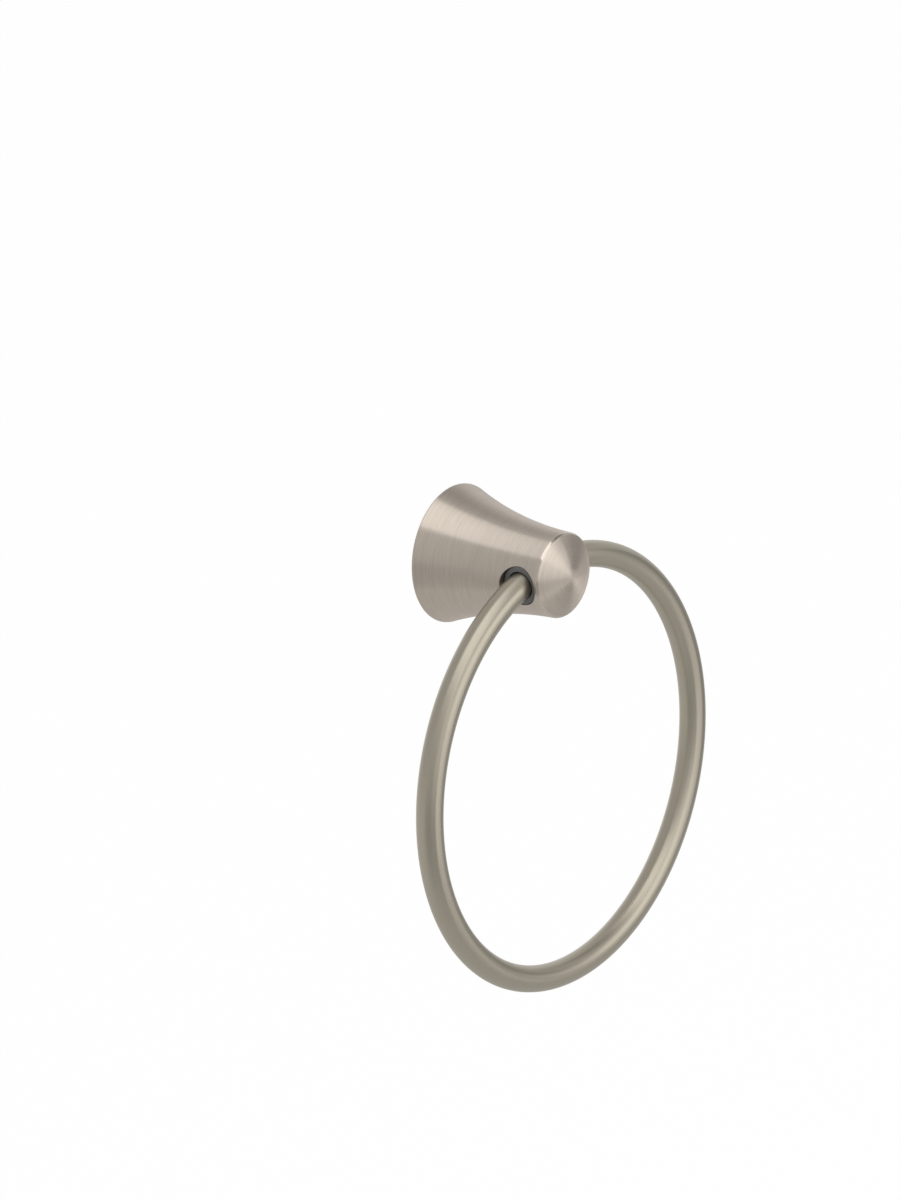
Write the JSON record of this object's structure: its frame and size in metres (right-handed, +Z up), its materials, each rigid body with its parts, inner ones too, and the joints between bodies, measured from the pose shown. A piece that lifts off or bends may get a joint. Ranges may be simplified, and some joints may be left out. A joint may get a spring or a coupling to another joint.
{
  "type": "towel ring",
  "caption": "Wall-mounted towel ring in satin nickel: a trumpet-shaped post with a domed nose carries a round tube ring that hangs and swings in dark plastic bushes.",
  "frame": {"origin": "centre of the wall face, on the axis of the post", "axes": "+Y into the wall, +Z up, +X to the right of someone facing the wall"},
  "size_m": [0.1618, 0.052, 0.1808],
  "materials": {
    "post_satin_nickel": "satin nickel plate, brushed round the axis",
    "ring_satin_nickel": "satin nickel plate, fine even grain",
    "bush_plastic": "moulded, dark grey",
    "bracket_zinc": "plain zinc casting",
    "screw_steel": "plain steel"
  },
  "bodies": {
    "wall_post": {"post": "post_satin_nickel", "bush_left": "bush_plastic", "bush_right": "bush_plastic", "wall_bracket": "bracket_zinc", "set_screw": "screw_steel"},
    "swing_ring": {"ring": "ring_satin_nickel"}
  },
  "joints": [
    {"name": "ring_swing", "type": "hinge", "parent": "wall_post", "child": "swing_ring", "pos_m": [0, -0.0395, 0], "axis": [-1, 0, 0], "range_deg": [-13, 193]}
  ]
}
